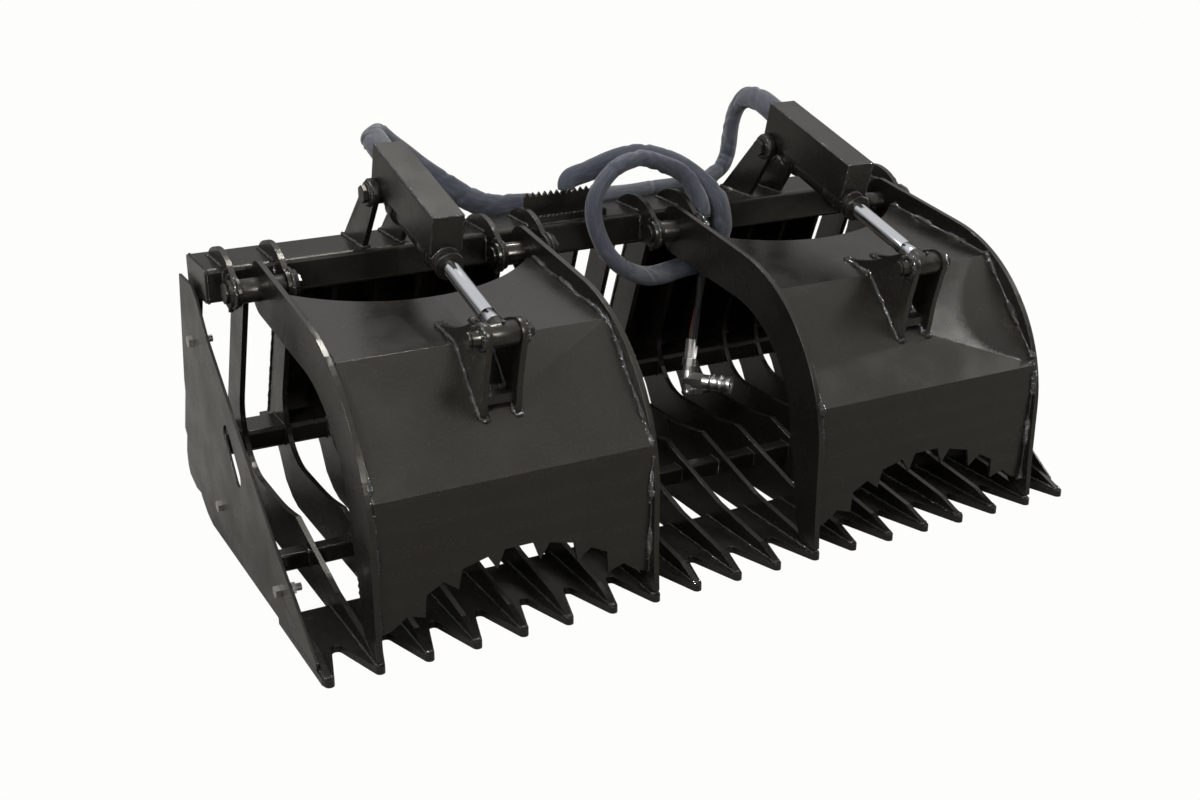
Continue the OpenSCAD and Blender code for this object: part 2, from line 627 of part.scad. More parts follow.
module rod_eye(k) {
  on_axis(k) translate([0, -cyl_l, 0]) difference() {
    union() {
      rotate([0, 90, 0]) cylinder(h = ear_gap - 2 * face_gap, r = eye_r, center = true);
      along(0, eye_r + 12, rod_d / 2 + 2);
      translate([0, 0, eye_r - 1]) cylinder(h = 7, r = 3.5);
    }
    rotate([0, 90, 0]) cylinder(h = ear_gap + 2, r = rod_pin_d / 2 + eye_clear, center = true);
  }
}
// Hose guard: an upside-down channel on the barrel with a front wall and two straps
guard_side = 14;
module guard_section() {
  difference() {
    translate([-guard_w / 2, guard_side]) square([guard_w, guard_h - guard_side]);
    translate([-guard_w / 2 + guard_t, guard_side - 1])
      square([guard_w - 2 * guard_t, guard_h - guard_side - guard_t + 1]);
  }
}
module across(y0, y1) {
  translate([0, y1, 0]) rotate([90, 0, 0]) linear_extrude(height = y1 - y0) children();
}
module hose_guard(k) {
  y0 = -barrel_l + 24;
  on_axis(k) {
    difference() {
      across(y0, y0 + guard_l) guard_section();
      translate([-guard_w, 0, 0]) rotate([0, 90, 0]) cylinder(h = 2 * guard_w, r = base_tube_r + face_gap);
    }
    difference() {
      across(y0, y0 + guard_t) translate([-guard_w / 2 + guard_t, 0])
        square([guard_w - 2 * guard_t, guard_h - guard_t]);
      along(y0 - 1, y0 + guard_t + 1, barrel_r + 0.15);
    }
    for (y = [y0 + 30, y0 + guard_l - 125]) difference() {
      along(y, y + 38, barrel_r + 6);
      along(y - 1, y + 39, barrel_r + 0.15);
      translate([-barrel_r * 2, y - 2, guard_side]) cube([barrel_r * 4, 42, barrel_r * 2]);
    }
  }
}
module left_barrel() { color(steel) barrel(left_claw); }
module right_barrel() { color(steel) barrel(right_claw); }
module left_gland() { color(steel) gland(left_claw); }
module right_gland() { color(steel) gland(right_claw); }
module left_piston() { color("dimgray") piston(left_claw); }
module right_piston() { color("dimgray") piston(right_claw); }
module left_rod() { color("silver") rod(left_claw); }
module right_rod() { color("silver") rod(right_claw); }
module left_rod_eye() { color(steel) rod_eye(left_claw); }
module right_rod_eye() { color(steel) rod_eye(right_claw); }
module left_hose_guard() { color(steel) hose_guard(left_claw); }
module right_hose_guard() { color(steel) hose_guard(right_claw); }

// Port pipes: from the two ports of a barrel back to the hose sleeve, under the guard
sleeve_h = 65.5;
port_x = 10;
port_y = [-barrel_back - 22, -barrel_l + 62];
module port_pipes(k) {
  bend = 15;
  on_axis(k) for (i = [0, 1]) translate([(1 - 2 * i) * port_x, port_y[i], 0]) {
    translate([0, 0, bore_d / 2 + 17]) cylinder(h = sleeve_h - bend - bore_d / 2 - 17, r = 9, $fn = 6);
    translate([0, bend, sleeve_h - bend]) rotate([90, 0, -90]) rotate_extrude(angle = 90)
      translate([bend, 0]) circle(r = hose_d / 2 - 0.5);
    translate([0, 0, sleeve_h]) along(bend, -port_y[i] - 0.3, hose_d / 2 - 0.5);
  }
}
module left_port_pipes() { color(steel) port_pipes(left_claw); }
module right_port_pipes() { color(steel) port_pipes(right_claw); }

// Hoses: round tubes swept along chosen points
function way(p, i) = unit(p[min(i + 1, len(p) - 1)] - p[max(i - 1, 0)]);
function carried(p, i = 0, n = [0, 0, 1]) = let (t = way(p, i), s = unit(n - (n * t) * t))
  i == len(p) - 1 ? [s] : concat([s], carried(p, i + 1, s));
module hose(p, r, n0, sides = 10) {
  m = len(p);
  ns = carried(p, 0, n0);
  points = [for (i = [0:m - 1]) let (t = way(p, i), b = cross(t, ns[i])) for (j = [0:sides - 1])
    p[i] + r * (cos(360 * j / sides) * ns[i] + sin(360 * j / sides) * b)];
  quads = [for (i = [0:m - 2], j = [0:sides - 1]) let (q = (j + 1) % sides)
    each [[i * sides + q, i * sides + j, (i + 1) * sides + j],
      [i * sides + q, (i + 1) * sides + j, (i + 1) * sides + q]]];
  polyhedron(points = points, faces = concat([[for (j = [0:sides - 1]) j]], quads,
    [[for (j = [sides - 1:-1:0]) (m - 1) * sides + j]]), convexity = 8);
}
// Route points are written from the top front edge of the beam, with x scaled by the tooth pitch
function at(p) = [p[0] * tooth_pitch / 101.6, beam_y + p[1], beam_top + p[2]];
function barrel_end(k, d) = let (q = base_pt + turned([d, sleeve_h], cyl_tilt)) [kx(k), q[0], q[1]];
left_route = concat([barrel_end(left_claw, 0), barrel_end(left_claw, 30)], [for (p = [
  [-506, 30, 222], [-490, 100, 228], [-450, 160, 210], [-390, 195, 160], [-320, 195, 100],
  [-250, 182, 50], [-180, 178, 15], [-100, 176, 6], [-40, 176, 6]]) at(p)]);
right_route = concat([barrel_end(right_claw, 0), barrel_end(right_claw, 30)], [for (p = [
  [510, 40, 226], [514, 110, 228], [515, 160, 200], [513, 182, 150], [508, 186, 90], [490, 182, 45],
  [440, 177, 15], [370, 176, 8], [280, 176, 6], [180, 176, 6], [70, 176, 6]]) at(p)]);
centre_route = [for (p = [
  [31, 176, 32.3], [31, 176, 54], [90, 170, 72], [144, 145, 99], [203, 110, 114], [259, 70, 101],
  [312, 34, 64], [342, -4, 29], [348, -23, 6], [353, -27, -20], [355, -30, -68],
  [340, -10, -120], [314, 0, -148],
  [241, -10, -151], [153, -30, -154], [70, -40, -119], [13, -45, -54], [-11, -45, 21], [5, -40, 78],
  [59, -25, 121], [140, 0, 131], [207, 10, 108], [268, 10, 76], [296, -14, 26],
  [297, -28, 4], [297, -28, -21.7]]) at(p)];
pressure_route = [for (p = [[297, -37, -22], [294, -42, -80], [286, -48, -150], [281, -47, -240],
  [270.9, -42.1, -298.6], [264.1, -46, -327.7]]) at(p)];
return_route = [for (p = [[297, -19, -22], [298, -24, -90], [300, -34, -150], [296, -32, -210],
  [290, -27, -280], [287.4, -24.7, -319.3], [282, -25, -354.7]]) at(p)];
module left_hose_sleeve() { color("dimgray") placed() hose(left_route, sleeve_d / 2, [0, 0, 1]); }
module right_hose_sleeve() { color("dimgray") placed() hose(right_route, sleeve_d / 2, [0, 0, 1]); }
module centre_hose_sleeve() { color("dimgray") placed() hose(centre_route, sleeve_d / 2, [1, 0, 0], 9); }
module pressure_hose() { color(steel) placed() hose(pressure_route, hose_d / 2, [1, 0, 0], 8); }
module return_hose() { color(steel) placed() hose(return_route, hose_d / 2, [1, 0, 0], 8); }

module between(p0, p1, r) {
  d = p1 - p0;
  translate(p0) rotate([0, acos(d[2] / norm(d)), atan2(d[1], d[0])]) cylinder(h = norm(d), r = r);
}
// Tee behind the beam where the two cylinder sleeves and the centre sleeve meet
module hose_tee() {
  a = at([-40, 176, 6]);
  b = at([70, 176, 6]);
  c = at([31, 176, 6]);
  color(steel) placed() {
    bar(a[0], b[0], [a[1], a[2]], 13);
    translate(c) cylinder(h = 26, r = 12);
    translate([-14, beam_y + beam_d, beam_top - 34]) cube([30, 20, 36]);
  }
}
// Couplers hanging from the two bare hoses
female_at = at([260, -60, -426]);
swing = 50;
module swung() {
  c = female_at - [17, 0, 0];
  translate(c) rotate([0, 0, -swing]) translate(-c) children();
}
male_at = at([280, -26, -474]);
module coupler_adapters() {
  elbow_a = [female_at[0] - 17, female_at[1], female_at[2]];
  elbow_b = [male_at[0] - 16, male_at[1], male_at[2]];
  color("silver") placed() {
    between(at([264, -46, -328]), elbow_a, 11);
    translate(elbow_a) sphere(r = 12);
    swung() hex(elbow_a[0], female_at[0], [female_at[1], female_at[2]], 14);
    between(at([282, -25, -355]), elbow_b, 11);
    translate(elbow_b) sphere(r = 12);
    hex(elbow_b[0], male_at[0], [male_at[1], male_at[2]], 14);
  }
}
module female_coupler() {
  p = [female_at[1], female_at[2]];
  x = female_at[0];
  color("silver") placed() swung() difference() {
    union() {
      bar(x, x + 88, p, coupler_d / 2);
      bar(x + 88, x + 100, p, coupler_d / 2 + 3);
      hex(x, x + 28, p, coupler_d / 2 + 3);
    }
    bar(x + 60, x + 101, p, coupler_d * 0.31);
  }
}
module coupler_collar() {
  p = [female_at[1], female_at[2]];
  x = female_at[0] + 46;
  color("silver") placed() swung() difference() {
    union() {
      bar(x, x + 34, p, coupler_d / 2 + 2.5);
      bar(x + 4, x + 10, p, coupler_d / 2 + 4);
      bar(x + 24, x + 30, p, coupler_d / 2 + 4);
    }
    bar(x - 1, x + 35, p, coupler_d / 2 + run_gap);
  }
}
module male_coupler() {
  p = [male_at[1], male_at[2]];
  x = male_at[0];
  color("silver") placed() {
    hex(x, x + 26, p, coupler_d * 0.45);
    bar(x + 26, x + 40, p, coupler_d * 0.36);
    bar(x + 40, x + 48, p, coupler_d * 0.42);
    bar(x + 48, x + 72, p, coupler_d * 0.3);
  }
}

cutting_edge();
left_end_plate();
right_end_plate();
left_tines();
centre_tines();
right_tines();
left_side_plate();
right_side_plate();
side_plate_bolts();
top_beam();
beam_end_caps();
mid_tube();
lower_tube();
left_attach_plate();
right_attach_plate();
serrated_step();
left_hinge_lugs();
right_hinge_lugs();
left_hinge_pins();
right_hinge_pins();
left_cylinder_lugs();
right_cylinder_lugs();
left_base_pin();
right_base_pin();
left_claw_outer_rib();
left_claw_inner_rib();
left_claw_skin();
left_claw_ears();
left_claw_bushings();
left_rod_pin();
right_claw_outer_rib();
right_claw_inner_rib();
right_claw_skin();
right_claw_ears();
right_claw_bushings();
right_rod_pin();
left_barrel();
left_gland();
left_hose_guard();
left_port_pipes();
left_piston();
left_rod();
left_rod_eye();
right_barrel();
right_gland();
right_hose_guard();
right_port_pipes();
right_piston();
right_rod();
right_rod_eye();
left_hose_sleeve();
right_hose_sleeve();
centre_hose_sleeve();
pressure_hose();
return_hose();
hose_tee();
coupler_adapters();
female_coupler();
male_coupler();
coupler_collar();
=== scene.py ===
"""A skid steer grapple: a toothed tine bucket with two hydraulic claws, in gloss black paint.

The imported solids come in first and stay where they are. Each section below dresses one piece
or one group of like pieces, in the order in which the grapple is put together. Lengths are in
metres, X runs along the cutting edge, Y from the teeth to the loader plates and Z up.
"""
import json
import math

import bpy
import numpy as np
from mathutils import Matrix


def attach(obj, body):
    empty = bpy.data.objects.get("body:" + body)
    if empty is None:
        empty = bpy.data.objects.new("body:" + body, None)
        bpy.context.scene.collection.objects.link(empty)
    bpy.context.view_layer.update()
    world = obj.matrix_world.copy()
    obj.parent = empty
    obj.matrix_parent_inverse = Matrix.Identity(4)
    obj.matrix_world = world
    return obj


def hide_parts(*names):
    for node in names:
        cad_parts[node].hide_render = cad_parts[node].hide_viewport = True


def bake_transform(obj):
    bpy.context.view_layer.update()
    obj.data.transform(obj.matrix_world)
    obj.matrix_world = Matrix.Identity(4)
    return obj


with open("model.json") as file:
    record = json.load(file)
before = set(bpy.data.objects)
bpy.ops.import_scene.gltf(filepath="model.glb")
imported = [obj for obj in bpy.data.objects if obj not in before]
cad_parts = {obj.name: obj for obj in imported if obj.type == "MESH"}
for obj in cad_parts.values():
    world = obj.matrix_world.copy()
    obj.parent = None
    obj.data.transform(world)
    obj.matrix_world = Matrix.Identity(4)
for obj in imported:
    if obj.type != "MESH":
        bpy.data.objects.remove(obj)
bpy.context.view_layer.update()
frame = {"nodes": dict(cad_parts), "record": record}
nodes = frame["nodes"]

# ---------------------------------------------------------------- camera and studio
# A long lens looks down at the grapple from its left front corner. The camera sees a plain pale
# floor and backdrop, and the paint reflects them darker, as in a hall. Three soft lamps give the
# light, and four small flashes, which only gloss shows, put the glints on the paint.
view_azimuth, view_elevation = math.radians(-28.24), math.radians(21.02)
camera_place = (-1.6669, -3.0125, 1.5551)
sensor_width, focal_pixels, picture_pixels = 36.0, 1550.75, 1200
lens = bpy.data.cameras.new("view")
lens.sensor_width, lens.lens = sensor_width, sensor_width * focal_pixels / picture_pixels
view = bpy.data.objects.new("view", lens)
view.location = camera_place
view.rotation_euler = (math.pi / 2 - view_elevation, 0, view_azimuth)
bpy.context.collection.objects.link(view)
bpy.context.scene.camera = view
bpy.context.scene.view_settings.view_transform = "Standard"


def link(tree, *pairs):
    """Joins each (output, input) pair of sockets in a node tree."""
    for out, into in pairs:
        tree.links.new(out, into)


def set_inputs(node, values):
    """Sets a node's inputs, each by its name or its number."""
    for key, value in values.items():
        node.inputs[key].default_value = value


def new_node(tree, kind, values=None):
    """A new node of one kind in a tree, with its input values."""
    node = tree.nodes.new("ShaderNode" + kind)
    set_inputs(node, values or {})
    return node


def new_math(tree, operation, values=None):
    """A new math node in a tree, with its input values."""
    node = new_node(tree, "Math")
    node.operation = operation
    set_inputs(node, values or {})
    return node


def new_tint(tree, first, second):
    """A new node that mixes two colours by its Factor."""
    node = new_node(tree, "Mix")
    node.data_type = "RGBA"
    set_inputs(node, {"A": (*first, 1), "B": (*second, 1)})
    return node


def new_group(name, sockets):
    """A node group with its sockets, and its input and output nodes."""
    group = bpy.data.node_groups.new(name, "ShaderNodeTree")
    for socket, way, kind in sockets:
        group.interface.new_socket(socket, in_out=way, socket_type="NodeSocket" + kind)
    return group, group.nodes.new("NodeGroupInput"), group.nodes.new("NodeGroupOutput")


def named_material(name, colour, roughness, metallic=0.0):
    """A principled material and its shader node."""
    material = bpy.data.materials.new(name)
    material.use_nodes = True
    shader = material.node_tree.nodes["Principled BSDF"]
    set_inputs(shader, {"Base Color": (*colour, 1), "Roughness": roughness, "Metallic": metallic})
    return material, shader


world = bpy.data.worlds.new("studio")
bpy.context.scene.world = world
world.use_nodes = True
sky = world.node_tree
backdrop = sky.nodes["Background"]
set_inputs(backdrop, {"Color": (1, 1, 1, 1)})
direction, rise = new_node(sky, "TexCoord"), new_node(sky, "SeparateXYZ")
overhead = new_node(sky, "MapRange", {"From Min": 0.15, "From Max": 0.75, "To Min": 0.16, "To Max": 1.0})
overhead.interpolation_type = "SMOOTHSTEP"
strength = new_node(sky, "MapRange", {"To Max": 0.985})
link(sky, (direction.outputs["Generated"], rise.inputs[0]), (rise.outputs["Z"], overhead.inputs["Value"]),
     (overhead.outputs["Result"], strength.inputs["To Min"]),
     (new_node(sky, "LightPath").outputs["Is Camera Ray"], strength.inputs["Value"]),
     (strength.outputs["Result"], backdrop.inputs["Strength"]))

floor_reach, floor_z = 30, -0.001
floor_mesh = bpy.data.meshes.new("floor")
floor_mesh.from_pydata([(x * floor_reach, y * floor_reach, floor_z) for x, y in ((-1, -1), (1, -1), (1, 1), (-1, 1))],
                       [], [(0, 1, 2, 3)])
floor = bpy.data.objects.new("floor", floor_mesh)
bpy.context.collection.objects.link(floor)
white, plain = named_material("white_floor", (0.36, 0.35, 0.33), 0.9)
set_inputs(plain, {"Specular IOR Level": 0.0})
paper = white.node_tree
glow, both = new_node(paper, "Emission", {"Color": (0.985, 0.985, 0.965, 1)}), new_node(paper, "MixShader")
link(paper, (new_node(paper, "LightPath").outputs["Is Camera Ray"], both.inputs[0]),
     (plain.outputs[0], both.inputs[1]), (glow.outputs[0], both.inputs[2]),
     (both.outputs[0], paper.nodes["Material Output"].inputs["Surface"]))
floor_mesh.materials.append(white)

lit_point = (0, 0, 0.35)
lamps = (("key", (-3.0, -2.2, 3.4), 1.2, 90), ("fill", (2.6, -3.4, 2.6), 1.4, 40),
         ("back", (0.6, 3.6, 3.2), 1.6, 60), ("flash left", (-2.8, -1.8, 3.0), 0.14, 130),
         ("flash front", (-0.4, -4.2, 2.2), 0.14, 110), ("flash right", (3.2, -0.4, 1.3), 0.14, 110),
         ("flash top", (0.3, 1.2, 4.2), 0.14, 80))
for lamp_name, place, size, power in lamps:
    light = bpy.data.lights.new(lamp_name, "AREA")
    light.size, light.energy = size, power
    lamp = bpy.data.objects.new(lamp_name, light)
    lamp.location = place
    lamp.visible_glossy = "flash" in lamp_name
    lamp.visible_diffuse = "flash" not in lamp_name
    aim = np.array(lit_point) - place
    lamp.rotation_euler = (math.atan2(math.hypot(aim[0], aim[1]), -aim[2]), 0,
                           math.atan2(aim[1], aim[0]) - math.pi / 2)
    bpy.context.collection.objects.link(lamp)

# ---------------------------------------------------------------- fabric hose sleeves
# Dark blue woven nylon tubes pulled over pairs of hydraulic hoses. One leaves each cylinder
# guard and runs to the tee behind the beam, and the long third one hangs in a loop.
beam_y, beam_top, half_depth = 0.690, 0.640, 0.5417805
sleeve_d, hose_d = 0.042, 0.015
# The cylinders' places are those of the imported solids: the distance of each from the middle, and
# how far the rod eye lies ahead of the base pin and below it.
cylinder_x, cylinder_reach, cylinder_drop = 0.508, 0.563, 0.160
cylinder_tilt = math.atan2(cylinder_drop, cylinder_reach)
cylinders = (("left", -cylinder_x), ("right", cylinder_x))
base_pin = np.array([0.643 - half_depth, 0.775])
guard_middle, guard_neck = 0.0655, 0.030
full_bend, pleat_spacing = 0.00009, 0.028


def on_cylinder(x, across, along, up):
    """A point in a cylinder's own frame: across it, along it from its base pin, and up from its axis."""
    return [x + across, base_pin[0] + along * math.cos(cylinder_tilt) - up * math.sin(cylinder_tilt),
            base_pin[1] + along * math.sin(cylinder_tilt) + up * math.cos(cylinder_tilt)]


def route(points_mm):
    """Route points in metres, from millimetres that are measured from the beam's front top edge."""
    return np.array(points_mm) / 1000 + (0, beam_y - half_depth, beam_top)


def gaps(line):
    """Distances between neighbouring points of a line."""
    return np.linalg.norm(np.diff(line, axis=0), axis=1)


def run_along(line):
    """Length along a line up to each of its points."""
    return np.r_[0, np.cumsum(gaps(line))]


def resampled(line, even):
    """The points of a line at given lengths along it."""
    run = run_along(line)
    return np.stack([np.interp(even, run, line[:, k]) for k in range(3)], axis=1)


def smooth_route(points, step=0.004):
    """One smooth line through the points: a Catmull-Rom curve, evened by a running mean and
    cut again at equal lengths; its two ends stay where they are."""
    p = np.vstack([2 * points[0] - points[1], points, 2 * points[-1] - points[-2]])
    t = np.linspace(0, 1, 40, endpoint=False)[:, None]
    a, b, c, d = (p[i:len(p) - 3 + i, None] for i in range(4))
    line = 0.5 * (2 * b + (c - a) * t + (2 * a - 5 * b + 4 * c - d) * t ** 2 + (3 * b - a - 3 * c + d) * t ** 3)
    line = np.vstack([line.reshape(-1, 3), points[-1:]])
    for _ in range(2):
        length = run_along(line)[-1]
        line = resampled(line, np.linspace(0, length, max(int(length / step), 12) + 1))
        for _ in range(12):
            line[1:-1] = (line[:-2] + 2 * line[1:-1] + line[2:]) / 4
    return line


def carried_frame(line):
    """Tangents and two cross directions for each point, carried along without twist: each
    direction is the last one with its part along the new tangent taken off."""
    way = np.gradient(line, axis=0)
    way /= np.linalg.norm(way, axis=1)[:, None]
    one = np.empty_like(way)
    last = np.cross(way[0], (0.3, 0.2, 1.0) if abs(way[0][2]) < 0.9 else (1.0, 0.2, 0.1))
    for i, t in enumerate(way):
        last = last - (last @ t) * t
        last /= np.linalg.norm(last)
        one[i] = last
    return way, one, np.cross(way, one)


def grid_faces(rows, columns):
    """Faces of a grid of rows by columns, whose last column joins its first."""
    i, j = np.meshgrid(np.arange(rows - 1), np.arange(columns), indexing="ij")
    k = (j + 1) % columns
    near, far = i * columns, (i + 1) * columns
    return np.stack([near + j, near + k, far + k, far + j], -1).reshape(-1, 4)


def new_piece(name, verts, faces, material, caps=()):
    """A smooth-shaded object from arrays: caps are extra faces with any number of corners."""
    mesh = bpy.data.meshes.new(name)
    corners = [tuple(f) for f in faces.tolist()] + [tuple(c) for c in caps]
    mesh.from_pydata(verts.reshape(-1, 3).tolist(), [], corners)
    mesh.polygons.foreach_set("use_smooth", np.ones(len(mesh.polygons), dtype=bool))
    mesh.materials.append(material)
    mesh.update()
    piece = bpy.data.objects.new(name, mesh)
    bpy.context.collection.objects.link(piece)
    return piece


def tube(name, line, radius, material, sides=16):
    """A closed tube along a line: radius(u, v) gives the distance from the line at length u and
    turn v, as an array of rings by sides. Its UV map runs in metres along and in turns round."""
    way, one, two = carried_frame(line)
    run = run_along(line)
    turn = np.linspace(0, 2 * np.pi, sides, endpoint=False)
    u, v = np.meshgrid(run, turn, indexing="ij")
    r = radius(u, v)[..., None]
    rings = line[:, None] + r * (np.cos(v)[..., None] * one[:, None] + np.sin(v)[..., None] * two[:, None])
    rows = len(line)
    piece = new_piece(name, rings, grid_faces(rows, sides), material,
                      caps=(range(sides - 1, -1, -1), range((rows - 1) * sides, rows * sides)))
    corners = np.empty(len(piece.data.loops), dtype=np.int32)
    piece.data.loops.foreach_get("vertex_index", corners)
    across = (corners % sides) / sides
    starts = np.repeat(across[::4][: (rows - 1) * sides], 4)
    across[: len(starts)] += (starts > 0.9) & (across[: len(starts)] < 0.1)
    layer = piece.data.uv_layers.new(name="along")
    layer.data.foreach_set("uv", np.stack([run[corners // sides], across], 1).ravel())
    return piece


def cloth_radius(seed, line, tall=1.36, thick=0.94):
    """Sleeve radius: an ellipse that turns slowly along the tube, taller than it is thick, less
    a number of slanted pleats. Each pleat is a Gaussian groove that runs part of the way round,
    and most of them sit where the line bends; broad soft dents lie between them."""
    turn_rate = np.linalg.norm(np.gradient(np.gradient(line, axis=0), axis=0), axis=1)
    bend = np.convolve(np.clip(turn_rate / full_bend, 0, 1), np.ones(15) / 15, "same")
    run = run_along(line)
    dice = np.random.default_rng(int(seed * 10))
    chance = np.cumsum(0.15 + bend)
    count = int(run[-1] / pleat_spacing)
    centres = np.interp(dice.random(count), chance / chance[-1], run)
    pleats = np.stack([centres, dice.random(count) * 2 * np.pi, dice.normal(0, 0.016, count),
                       dice.uniform(0.004, 0.010, count), dice.uniform(0.03, 0.17, count)], 1)

    def radius(u, v):
        """Distance from the line: flat(v) times 1 - shrink(u, v), drawn in to 0.98 at both ends."""
        tilt = v - 0.5 * np.sin(2.3 * u + seed) - np.pi / 2
        flat = 1 / np.sqrt((np.cos(tilt) / tall) ** 2 + (np.sin(tilt) / thick) ** 2)
        shrink = 0.05 * np.sin(2 * v + 9 * u + seed) * np.sin(21 * u + 2.1 * seed)
        shrink += 0.045 * np.sin(3 * v + 3 * np.sin(7 * u + seed) + seed) * np.sin(33 * u + 1.7 * seed)
        for centre, side, slant, width, depth in pleats:
            off = np.mod(v - side + np.pi, 2 * np.pi) - np.pi
            groove = (u - centre - slant * off) / width
            shrink += depth * np.exp(-groove ** 2) * np.exp(-(off / 1.1) ** 2)
            shrink -= 0.45 * depth * np.exp(-(groove - 1.9) ** 2) * np.exp(-(off / 1.1) ** 2)
        ends = np.clip(np.minimum(u, u.max() - u) / 0.03, 0, 1)
        full = flat * (1 - np.clip(shrink, -0.10, 0.42))
        return sleeve_d / 2 * (0.98 + ends * (full - 0.98))

    return radius


def weave_group():
    """Woven cloth: thread ridges that run along and round a tube, as a height, and a mask of
    paler worn threads."""
    group, start, end = new_group("weave", (
        ("UV", "INPUT", "Vector"), ("Threads along", "INPUT", "Float"), ("Threads round", "INPUT", "Float"),
        ("Height", "OUTPUT", "Float"), ("Wear", "OUTPUT", "Float")))
    parts, cross = new_node(group, "SeparateXYZ"), new_math(group, "MULTIPLY")
    link(group, (start.outputs["UV"], parts.inputs[0]), (cross.outputs[0], end.inputs["Height"]))
    for number, (axis, count) in enumerate((("X", "Threads along"), ("Y", "Threads round"))):
        scaled, wave = new_math(group, "MULTIPLY"), new_math(group, "SINE")
        link(group, (parts.outputs[axis], scaled.inputs[0]), (start.outputs[count], scaled.inputs[1]),
             (scaled.outputs[0], wave.inputs[0]), (wave.outputs[0], cross.inputs[number]))
    lint = new_node(group, "TexNoise", {"Scale": 30, "Detail": 6})
    worn = new_node(group, "MapRange", {"From Min": 0.45, "From Max": 0.75})
    link(group, (start.outputs["UV"], lint.inputs["Vector"]), (lint.outputs[0], worn.inputs["Value"]),
         (worn.outputs[0], end.inputs["Wear"]))
    return group


sleeve_cloth, cloth = named_material("sleeve_cloth", (0.02, 0.023, 0.038), 0.85)
set_inputs(cloth, {"Sheen Weight": 0.35, "Sheen Roughness": 0.4})
tree = sleeve_cloth.node_tree
weave, uv = new_node(tree, "Group"), new_node(tree, "UVMap")
weave.node_tree, uv.uv_map = weave_group(), "along"
set_inputs(weave, {"Threads along": 5200, "Threads round": 300})
bump = new_node(tree, "Bump", {"Strength": 0.5, "Distance": 0.0004})
tint = new_tint(tree, (0.034, 0.040, 0.058), (0.075, 0.083, 0.110))
link(tree, (uv.outputs[0], weave.inputs["UV"]), (weave.outputs["Height"], bump.inputs["Height"]),
     (bump.outputs[0], cloth.inputs["Normal"]), (weave.outputs["Wear"], tint.inputs["Factor"]),
     (tint.outputs["Result"], cloth.inputs["Base Color"]))

hose_colour, hose_roughness, mark_colour = (0.012, 0.012, 0.012), 0.45, (0.32, 0.03, 0.03)
hose_rubber = named_material("hose_rubber", hose_colour, hose_roughness)[0]
marked_rubber, rubber = named_material("marked_rubber", hose_colour, hose_roughness)
tree = marked_rubber.node_tree
uv, split = new_node(tree, "UVMap"), new_node(tree, "SeparateXYZ")
uv.uv_map = "along"
stripe, window = new_math(tree, "COMPARE", {1: 0.4, 2: 0.12}), new_math(tree, "COMPARE", {1: 0.265, 2: 0.035})
mark, tint = new_math(tree, "MULTIPLY"), new_tint(tree, hose_colour, mark_colour)
link(tree, (uv.outputs[0], split.inputs[0]), (split.outputs["Y"], stripe.inputs[0]),
     (split.outputs["X"], window.inputs[0]), (stripe.outputs[0], mark.inputs[0]),
     (window.outputs[0], mark.inputs[1]), (mark.outputs[0], tint.inputs["Factor"]),
     (tint.outputs["Result"], rubber.inputs["Base Color"]))


def guard_mouth(x):
    """Two points that start a sleeve: the middle of a guard's rear mouth and one straight out of it."""
    return [on_cylinder(x, 0, ahead, guard_middle) for ahead in (0.0, guard_neck)]


left_points = np.vstack([guard_mouth(-cylinder_x), route([
    [-506, 30, 222], [-490, 100, 228], [-450, 160, 210], [-390, 195, 160], [-320, 195, 100],
    [-250, 182, 50], [-180, 178, 15], [-100, 176, 6], [-40, 176, 6]])])
right_points = np.vstack([guard_mouth(cylinder_x), route([
    [510, 40, 226], [514, 110, 228], [515, 160, 200], [513, 182, 150], [508, 186, 90], [490, 182, 45],
    [440, 177, 15], [370, 176, 8], [280, 176, 6], [180, 176, 6], [70, 176, 6]])])
centre_points = route([
    [31, 176, 32.3], [31, 176, 54], [90, 170, 72], [144, 145, 99], [203, 110, 114], [259, 70, 101],
    [312, 34, 64], [342, -4, 29], [348, -23, 6], [353, -27, -20], [355, -30, -68], [340, -10, -120], [314, 0, -148],
    [241, -10, -151], [153, -30, -154], [70, -40, -119], [13, -45, -54], [-11, -45, 21], [5, -40, 78],
    [59, -25, 121], [140, 0, 131], [207, 10, 108], [268, 10, 76], [296, -14, 26], [297, -28, 4],
    [297, -28, -21.7]])
for name, points, seed in (("left_hose_sleeve", left_points, 1.0), ("right_hose_sleeve", right_points, 2.3),
                           ("centre_hose_sleeve", centre_points, 4.1)):
    line = smooth_route(points)
    shape = (1.20, 0.92) if name == "centre_hose_sleeve" else (1.36, 0.94)
    sleeve = tube(name + "_cloth", line, cloth_radius(seed, line, *shape), sleeve_cloth, sides=48)
    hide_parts(name)
    if name == "centre_hose_sleeve":
        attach(sleeve, "frame")
        tie = tube("centre_sleeve_tie", line[-6:-1], lambda u, v: np.full_like(u, sleeve_d / 2 + 0.0004),
                   hose_rubber, sides=36)
        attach(tie, "frame")
    else:
        body = name.split("_")[0] + "_barrel"
        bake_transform(sleeve)

# ---------------------------------------------------------------- bare hoses
# Two steel-braided rubber hoses leave the centre sleeve side by side and hang down to the
# couplers. The pressure hose has a short red mark printed on it near its end.
pressure_points = route([[297, -37, -22], [294, -42, -80], [286, -48, -150], [281, -47, -240],
                         [270.9, -42.1, -298.6], [264.1, -46, -327.7]])
return_points = route([[297, -19, -22], [298, -24, -90], [300, -34, -150], [296, -32, -210],
                       [290, -27, -280], [287.4, -24.7, -319.3], [282, -25, -354.7]])
for name, points, skin, fittings in (("pressure_hose", pressure_points, marked_rubber, ["female_coupler"]),
                                     ("return_hose", return_points, hose_rubber, ["male_coupler"])):
    line = smooth_route(points)
    hose = tube(name + "_rubber", line, lambda u, v: np.full_like(u, hose_d / 2), skin, sides=24)
    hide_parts(name)
    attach(hose, "frame")

